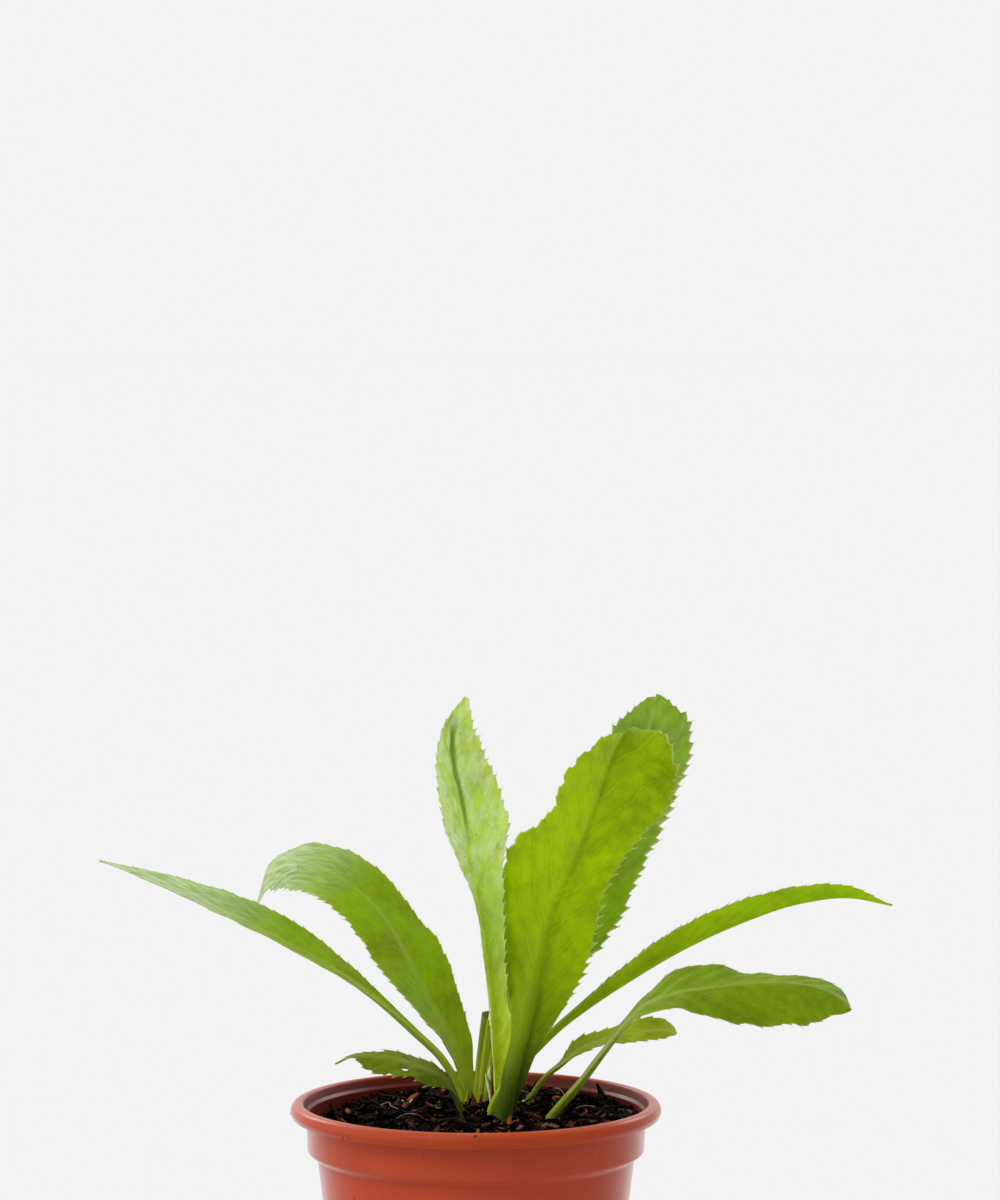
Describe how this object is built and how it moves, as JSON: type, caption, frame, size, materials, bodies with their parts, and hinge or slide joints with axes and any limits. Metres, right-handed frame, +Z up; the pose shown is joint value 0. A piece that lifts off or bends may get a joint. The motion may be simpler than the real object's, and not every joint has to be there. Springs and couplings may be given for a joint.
{
  "type": "culantro plant in a pot",
  "caption": "Culantro herb with long saw-toothed leaves rising from a crown, growing in bark soil in a round tapered plastic pot.",
  "frame": {"origin": "centre of the pot's flat underside", "axes": "+Z up along the pot's axis, +X along the plant's widest spread, to the right as the plant is seen along +Y"},
  "size_m": [0.2824, 0.1524, 0.2559],
  "materials": {
    "pot": "satin terracotta-red moulded plastic",
    "soil": "moist dark potting soil with bark chips",
    "leaf": "bright green leaf with a faint sheen",
    "leaf_dark": "darker green leaf with a faint sheen",
    "stalk": "yellow-green leaf stalk",
    "root": "pale brown root"
  },
  "bodies": {
    "root": {"pot": "pot", "soil": "soil", "root_crown_front": "root", "root_crown_back": "root", "leaf_left_long": "leaf", "leaf_left_arch": "leaf", "leaf_upright": "leaf", "leaf_broad": "leaf", "leaf_behind": "leaf", "leaf_right_long": "leaf", "leaf_right_low": "leaf_dark", "leaf_right_small": "leaf_dark", "leaf_left_small": "leaf_dark", "stalk_cut": "stalk"}
  },
  "joints": []
}
